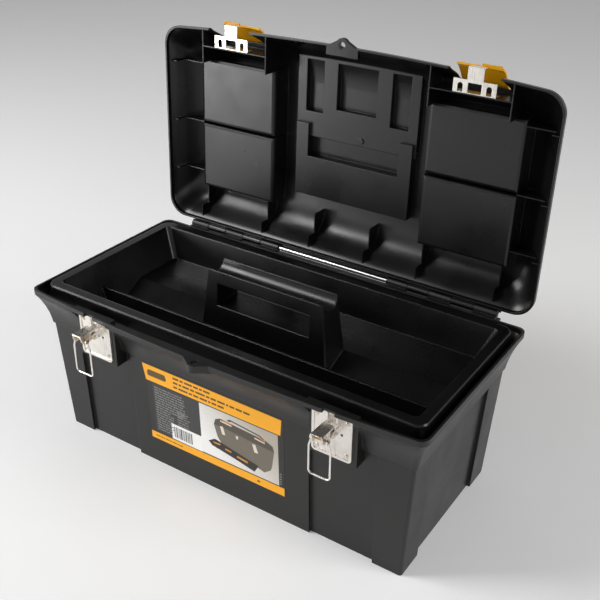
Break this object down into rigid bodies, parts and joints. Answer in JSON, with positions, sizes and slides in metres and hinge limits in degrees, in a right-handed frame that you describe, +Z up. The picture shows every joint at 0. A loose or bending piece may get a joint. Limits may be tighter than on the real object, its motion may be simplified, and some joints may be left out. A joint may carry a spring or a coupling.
{
  "type": "toolbox with tray",
  "caption": "Black plastic toolbox with a lift-out tray, a hinged lid with covered organisers, and sprung metal draw latches.",
  "frame": {"origin": "middle of the tub's flat bottom face", "axes": "+X along the length, -Y towards the latches, +Z up; the lid's hinge line runs along X at the rear"},
  "size_m": [0.604, 0.3975, 0.5483],
  "materials": {
    "tub_plastic": "satin black, moulded",
    "lid_plastic": "satin black, moulded",
    "tray_plastic": "satin black, moulded",
    "handle_plastic": "satin black, moulded",
    "yellow_plastic": "yellow, moulded",
    "plated_steel": "bright zinc plated",
    "wire_steel": "bright zinc plated wire",
    "pin_steel": "yellow passivated",
    "rod_steel": "drawn wire, zinc plated",
    "rivet_steel": "zinc plated",
    "label_film": "printed, glossy film"
  },
  "bodies": {
    "tub": {"tub": "tub_plastic", "hinge_rod": "rod_steel", "latch_plate_left": "plated_steel", "latch_plate_right": "plated_steel", "plate_rivets": "rivet_steel", "latch_pivot_left": "pin_steel", "latch_pivot_right": "pin_steel", "label": "label_film"},
    "tray": {"tray": "tray_plastic"},
    "lid": {"lid": "lid_plastic", "keeper_left": "plated_steel", "keeper_right": "plated_steel", "keeper_rivets": "rivet_steel", "handle_pins": "rod_steel"},
    "carry_handle": {"carry_handle": "handle_plastic"},
    "organiser_cover_left": {"organiser_cover_left": "yellow_plastic"},
    "latch_lever_left": {"latch_lever_left": "plated_steel"},
    "bail_pin_left": {"bail_pin_left": "pin_steel"},
    "latch_bail_left": {"latch_bail_left": "wire_steel"},
    "organiser_cover_right": {"organiser_cover_right": "yellow_plastic"},
    "latch_lever_right": {"latch_lever_right": "plated_steel"},
    "bail_pin_right": {"bail_pin_right": "pin_steel"},
    "latch_bail_right": {"latch_bail_right": "wire_steel"}
  },
  "joints": [
    {"name": "lid_hinge", "type": "hinge", "parent": "tub", "child": "lid", "pos_m": [0, 0.153, 0.2285], "axis": [-1, 0, 0], "range_deg": [-92.3, 0]},
    {"name": "tray_lift", "type": "slide", "parent": "tub", "child": "tray", "axis": [0, 0, 1], "range_m": [0, 0.25]},
    {"name": "carry_handle_hinge", "type": "hinge", "parent": "lid", "child": "carry_handle", "pos_m": [0, 0.2079, 0.39943], "axis": [1, 0, 0], "range_deg": [0, 90]},
    {"name": "cover_hinge_left", "type": "hinge", "parent": "lid", "child": "organiser_cover_left", "pos_m": [-0.185, 0.2119, 0.27217], "axis": [-1, 0, 0], "range_deg": [0, 110]},
    {"name": "lever_pivot_left", "type": "hinge", "parent": "tub", "child": "latch_lever_left", "pos_m": [-0.185, -0.15, 0.198], "axis": [-1, 0, 0], "range_deg": [-86, 45]},
    {"name": "bail_pin_turn_left", "type": "hinge", "parent": "latch_lever_left", "child": "bail_pin_left", "pos_m": [-0.185, -0.166, 0.198], "axis": [-1, 0, 0], "range_deg": [-45, 86]},
    {"name": "bail_swing_left", "type": "hinge", "parent": "bail_pin_left", "child": "latch_bail_left", "pos_m": [-0.185, -0.166, 0.198], "axis": [1, 0, 0], "range_deg": [-176.7, 0]},
    {"name": "cover_hinge_right", "type": "hinge", "parent": "lid", "child": "organiser_cover_right", "pos_m": [0.185, 0.2119, 0.27217], "axis": [-1, 0, 0], "range_deg": [0, 110]},
    {"name": "lever_pivot_right", "type": "hinge", "parent": "tub", "child": "latch_lever_right", "pos_m": [0.185, -0.15, 0.198], "axis": [-1, 0, 0], "range_deg": [-86, 45]},
    {"name": "bail_pin_turn_right", "type": "hinge", "parent": "latch_lever_right", "child": "bail_pin_right", "pos_m": [0.185, -0.166, 0.198], "axis": [-1, 0, 0], "range_deg": [-45, 86]},
    {"name": "bail_swing_right", "type": "hinge", "parent": "bail_pin_right", "child": "latch_bail_right", "pos_m": [0.185, -0.166, 0.198], "axis": [1, 0, 0], "range_deg": [-176.7, 0]}
  ],
  "couplings": [
    {"joint": "bail_pin_turn_left", "follows": "lever_pivot_left", "ratio": -1},
    {"joint": "bail_pin_turn_right", "follows": "lever_pivot_right", "ratio": -1}
  ]
}
